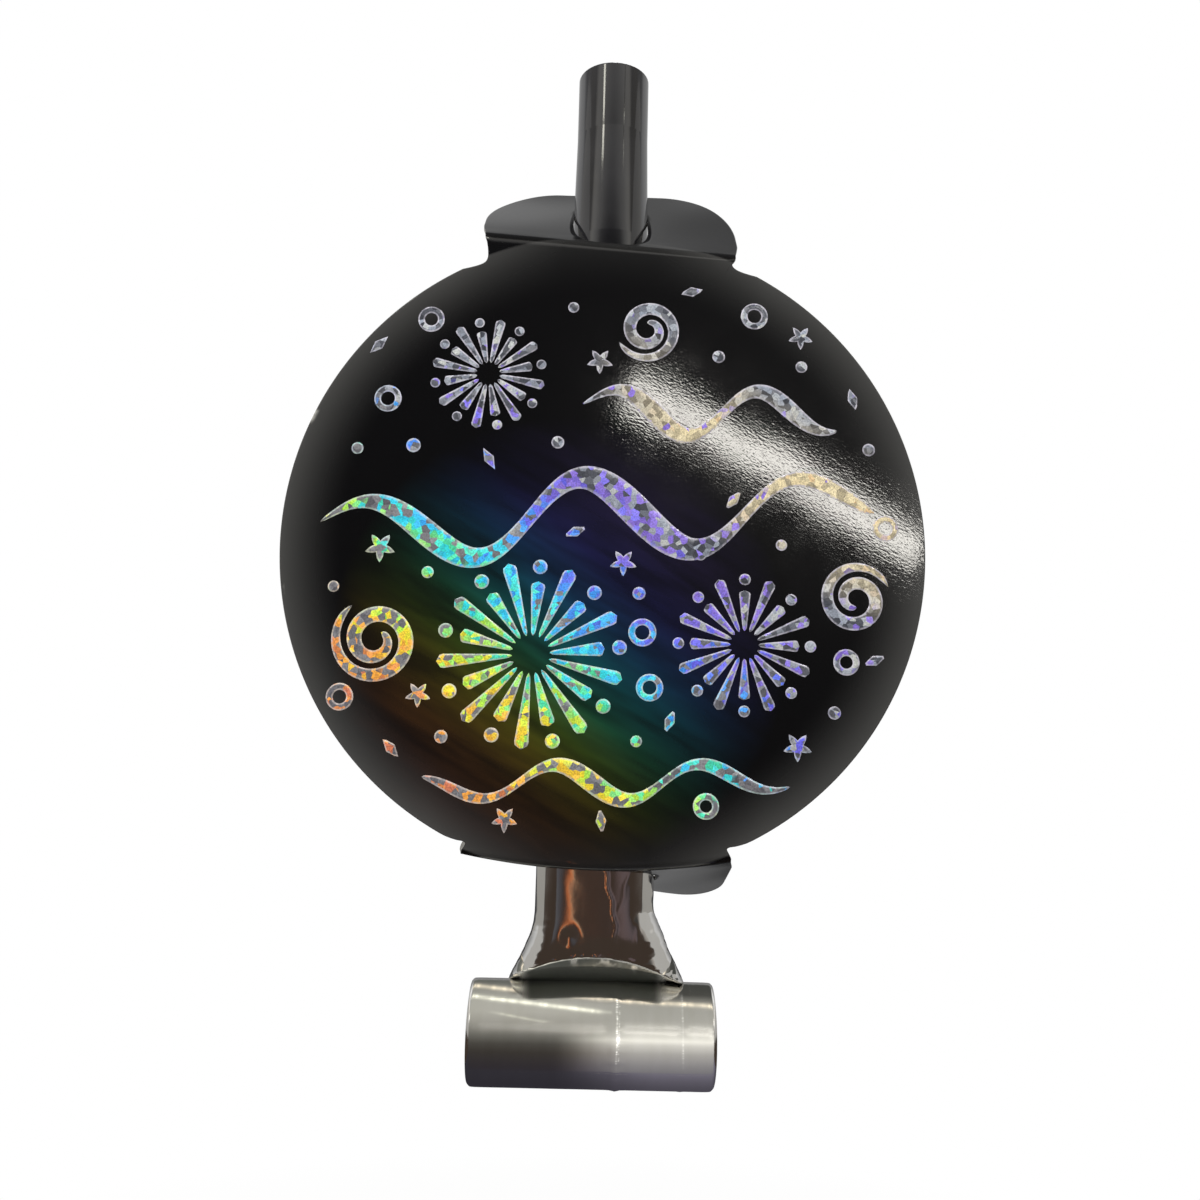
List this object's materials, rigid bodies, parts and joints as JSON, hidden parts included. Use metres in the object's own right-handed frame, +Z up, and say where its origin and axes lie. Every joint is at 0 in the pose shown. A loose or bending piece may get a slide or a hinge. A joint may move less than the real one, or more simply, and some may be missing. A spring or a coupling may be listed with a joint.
{
  "type": "party horn blower",
  "caption": "Party horn blower: a black mouthpiece tube with a reed, a folded round card medallion on the tube and a silver foil tube rolled up at its lower end.",
  "frame": {"origin": "The centre of the mouthpiece's blow end, on the tube's axis.", "axes": "+Z runs up the tube and out of the blow end, -Y is the way the medallion's printed face looks, and +X is to the right of someone looking at that face."},
  "size_m": [0.08, 0.0217, 0.1328],
  "materials": {
    "black_plastic": "satin",
    "black_card": "gloss",
    "silver_foil": "polished",
    "spring_steel": "satin",
    "reed_plastic": "matte",
    "reed_film": "gloss"
  },
  "bodies": {
    "mouthpiece": {"mouthpiece": "black_plastic", "reed_holder": "reed_plastic", "reed_clip": "reed_plastic", "foil_neck": "silver_foil"},
    "medallion": {"medallion_card": "black_card"},
    "reed": {"reed_tongue": "reed_film"},
    "roll_01": {"roll_foil_01": "silver_foil", "curl_spring_01": "spring_steel"},
    "roll_02": {"roll_foil_02": "silver_foil", "curl_spring_02": "spring_steel"},
    "roll_03": {"roll_foil_03": "silver_foil", "curl_spring_03": "spring_steel"},
    "roll_04": {"roll_foil_04": "silver_foil", "curl_spring_04": "spring_steel"},
    "roll_05": {"roll_foil_05": "silver_foil", "curl_spring_05": "spring_steel"},
    "roll_06": {"roll_foil_06": "silver_foil", "curl_spring_06": "spring_steel"},
    "roll_07": {"roll_foil_07": "silver_foil", "curl_spring_07": "spring_steel"},
    "roll_08": {"roll_foil_08": "silver_foil", "curl_spring_08": "spring_steel"},
    "roll_09": {"roll_foil_09": "silver_foil", "curl_spring_09": "spring_steel"},
    "roll_10": {"roll_foil_10": "silver_foil", "curl_spring_10": "spring_steel"},
    "roll_11": {"roll_foil_11": "silver_foil", "curl_spring_11": "spring_steel"},
    "roll_12": {"roll_foil_12": "silver_foil", "curl_spring_12": "spring_steel"},
    "roll_13": {"roll_foil_13": "silver_foil", "curl_spring_13": "spring_steel"},
    "roll_14": {"roll_foil_14": "silver_foil", "curl_spring_14": "spring_steel"},
    "roll_15": {"roll_foil_15": "silver_foil", "curl_spring_15": "spring_steel"},
    "roll_16": {"roll_foil_16": "silver_foil", "curl_spring_16": "spring_steel"},
    "roll_17": {"roll_foil_17": "silver_foil", "curl_spring_17": "spring_steel"},
    "roll_18": {"roll_foil_18": "silver_foil", "curl_spring_18": "spring_steel"},
    "roll_19": {"roll_foil_19": "silver_foil", "curl_spring_19": "spring_steel"},
    "roll_20": {"roll_foil_20": "silver_foil", "curl_spring_20": "spring_steel"},
    "roll_21": {"roll_foil_21": "silver_foil", "curl_spring_21": "spring_steel"},
    "roll_22": {"roll_foil_22": "silver_foil", "curl_spring_22": "spring_steel"}
  },
  "joints": [
    {"name": "medallion_swivel", "type": "hinge", "parent": "mouthpiece", "child": "medallion", "pos_m": [0, 0, -0.0669], "axis": [0, 0, 1], "continuous": true},
    {"name": "reed_beat", "type": "hinge", "parent": "mouthpiece", "child": "reed", "pos_m": [0, -0.00126, -0.04711], "axis": [-1, 0, 0], "range_deg": [0, 4.5], "stiffness_Nm_per_rad": 0.0015},
    {"name": "unroll", "type": "hinge", "parent": "mouthpiece", "child": "roll_01", "pos_m": [0, 0, -0.12044], "axis": [1, 0, 0], "range_deg": [0, 50], "stiffness_Nm_per_rad": 0.003, "springref_deg": -5.73},
    {"name": "unroll_02", "type": "hinge", "parent": "roll_01", "child": "roll_02", "pos_m": [0, -0.00664, -0.12553], "axis": [-1, 0, 0], "range_deg": [0, 80], "stiffness_Nm_per_rad": 0.00132, "springref_deg": -5.73},
    {"name": "unroll_03", "type": "hinge", "parent": "roll_02", "child": "roll_03", "pos_m": [0, -0.00264, -0.13247], "axis": [-1, 0, 0], "range_deg": [0, 80], "stiffness_Nm_per_rad": 0.00124, "springref_deg": -5.73},
    {"name": "unroll_04", "type": "hinge", "parent": "roll_03", "child": "roll_04", "pos_m": [0, 0.00463, -0.12982], "axis": [-1, 0, 0], "range_deg": [0, 80], "stiffness_Nm_per_rad": 0.00116, "springref_deg": -5.73},
    {"name": "unroll_05", "type": "hinge", "parent": "roll_04", "child": "roll_05", "pos_m": [0, 0.00334, -0.12247], "axis": [-1, 0, 0], "range_deg": [0, 80], "stiffness_Nm_per_rad": 0.00109, "springref_deg": -5.73},
    {"name": "unroll_06", "type": "hinge", "parent": "roll_05", "child": "roll_06", "pos_m": [0, -0.00386, -0.12247], "axis": [-1, 0, 0], "range_deg": [0, 80], "stiffness_Nm_per_rad": 0.00101, "springref_deg": -5.73},
    {"name": "unroll_07", "type": "hinge", "parent": "roll_06", "child": "roll_07", "pos_m": [0, -0.00506, -0.12929], "axis": [-1, 0, 0], "range_deg": [0, 80], "stiffness_Nm_per_rad": 0.000935, "springref_deg": -5.73},
    {"name": "unroll_08", "type": "hinge", "parent": "roll_07", "child": "roll_08", "pos_m": [0, 0.00119, -0.13156], "axis": [-1, 0, 0], "range_deg": [0, 80], "stiffness_Nm_per_rad": 0.000862, "springref_deg": -5.73},
    {"name": "unroll_09", "type": "hinge", "parent": "roll_08", "child": "roll_09", "pos_m": [0, 0.00438, -0.12604], "axis": [-1, 0, 0], "range_deg": [0, 80], "stiffness_Nm_per_rad": 0.000791, "springref_deg": -5.73},
    {"name": "unroll_10", "type": "hinge", "parent": "roll_09", "child": "roll_10", "pos_m": [0, -0.0003, -0.12211], "axis": [-1, 0, 0], "range_deg": [0, 80], "stiffness_Nm_per_rad": 0.000721, "springref_deg": -5.73},
    {"name": "unroll_11", "type": "hinge", "parent": "roll_10", "child": "roll_11", "pos_m": [0, -0.00477, -0.12586], "axis": [-1, 0, 0], "range_deg": [0, 80], "stiffness_Nm_per_rad": 0.000652, "springref_deg": -5.73},
    {"name": "unroll_12", "type": "hinge", "parent": "roll_11", "child": "roll_12", "pos_m": [0, -0.00199, -0.13068], "axis": [-1, 0, 0], "range_deg": [0, 80], "stiffness_Nm_per_rad": 0.000585, "springref_deg": -5.73},
    {"name": "unroll_13", "type": "hinge", "parent": "roll_12", "child": "roll_13", "pos_m": [0, 0.00299, -0.12887], "axis": [-1, 0, 0], "range_deg": [0, 80], "stiffness_Nm_per_rad": 0.00052, "springref_deg": -5.73},
    {"name": "unroll_14", "type": "hinge", "parent": "roll_13", "child": "roll_14", "pos_m": [0, 0.00211, -0.12392], "axis": [-1, 0, 0], "range_deg": [0, 80], "stiffness_Nm_per_rad": 0.000456, "springref_deg": -5.73},
    {"name": "unroll_15", "type": "hinge", "parent": "roll_14", "child": "roll_15", "pos_m": [0, -0.00264, -0.12392], "axis": [-1, 0, 0], "range_deg": [0, 80], "stiffness_Nm_per_rad": 0.000395, "springref_deg": -5.73},
    {"name": "unroll_16", "type": "hinge", "parent": "roll_15", "child": "roll_16", "pos_m": [0, -0.00341, -0.12834], "axis": [-1, 0, 0], "range_deg": [0, 80], "stiffness_Nm_per_rad": 0.000336, "springref_deg": -5.73},
    {"name": "unroll_17", "type": "hinge", "parent": "roll_16", "child": "roll_17", "pos_m": [0, 0.00054, -0.12978], "axis": [-1, 0, 0], "range_deg": [0, 80], "stiffness_Nm_per_rad": 0.000279, "springref_deg": -5.73},
    {"name": "unroll_18", "type": "hinge", "parent": "roll_17", "child": "roll_18", "pos_m": [0, 0.00251, -0.12637], "axis": [-1, 0, 0], "range_deg": [0, 80], "stiffness_Nm_per_rad": 0.000224, "springref_deg": -5.73},
    {"name": "unroll_19", "type": "hinge", "parent": "roll_18", "child": "roll_19", "pos_m": [0, -0.0003, -0.12401], "axis": [-1, 0, 0], "range_deg": [0, 80], "stiffness_Nm_per_rad": 0.000173, "springref_deg": -5.73},
    {"name": "unroll_20", "type": "hinge", "parent": "roll_19", "child": "roll_20", "pos_m": [0, -0.0029, -0.12619], "axis": [-1, 0, 0], "range_deg": [0, 80], "stiffness_Nm_per_rad": 0.000125, "springref_deg": -5.73},
    {"name": "unroll_21", "type": "hinge", "parent": "roll_20", "child": "roll_21", "pos_m": [0, -0.00134, -0.1289], "axis": [-1, 0, 0], "range_deg": [0, 80], "stiffness_Nm_per_rad": 0.0000805, "springref_deg": -5.73},
    {"name": "unroll_22", "type": "hinge", "parent": "roll_21", "child": "roll_22", "pos_m": [0, 0.00134, -0.12792], "axis": [-1, 0, 0], "range_deg": [0, 80], "stiffness_Nm_per_rad": 0.0000414, "springref_deg": -5.73}
  ],
  "couplings": [
    {"joint": "unroll_02", "follows": "unroll", "ratio": 1.6},
    {"joint": "unroll_03", "follows": "unroll", "ratio": 1.6},
    {"joint": "unroll_04", "follows": "unroll", "ratio": 1.6},
    {"joint": "unroll_05", "follows": "unroll", "ratio": 1.6},
    {"joint": "unroll_06", "follows": "unroll", "ratio": 1.6},
    {"joint": "unroll_07", "follows": "unroll", "ratio": 1.6},
    {"joint": "unroll_08", "follows": "unroll", "ratio": 1.6},
    {"joint": "unroll_09", "follows": "unroll", "ratio": 1.6},
    {"joint": "unroll_10", "follows": "unroll", "ratio": 1.6},
    {"joint": "unroll_11", "follows": "unroll", "ratio": 1.6},
    {"joint": "unroll_12", "follows": "unroll", "ratio": 1.6},
    {"joint": "unroll_13", "follows": "unroll", "ratio": 1.6},
    {"joint": "unroll_14", "follows": "unroll", "ratio": 1.6},
    {"joint": "unroll_15", "follows": "unroll", "ratio": 1.6},
    {"joint": "unroll_16", "follows": "unroll", "ratio": 1.6},
    {"joint": "unroll_17", "follows": "unroll", "ratio": 1.6},
    {"joint": "unroll_18", "follows": "unroll", "ratio": 1.6},
    {"joint": "unroll_19", "follows": "unroll", "ratio": 1.6},
    {"joint": "unroll_20", "follows": "unroll", "ratio": 1.6},
    {"joint": "unroll_21", "follows": "unroll", "ratio": 1.6},
    {"joint": "unroll_22", "follows": "unroll", "ratio": 1.6}
  ]
}
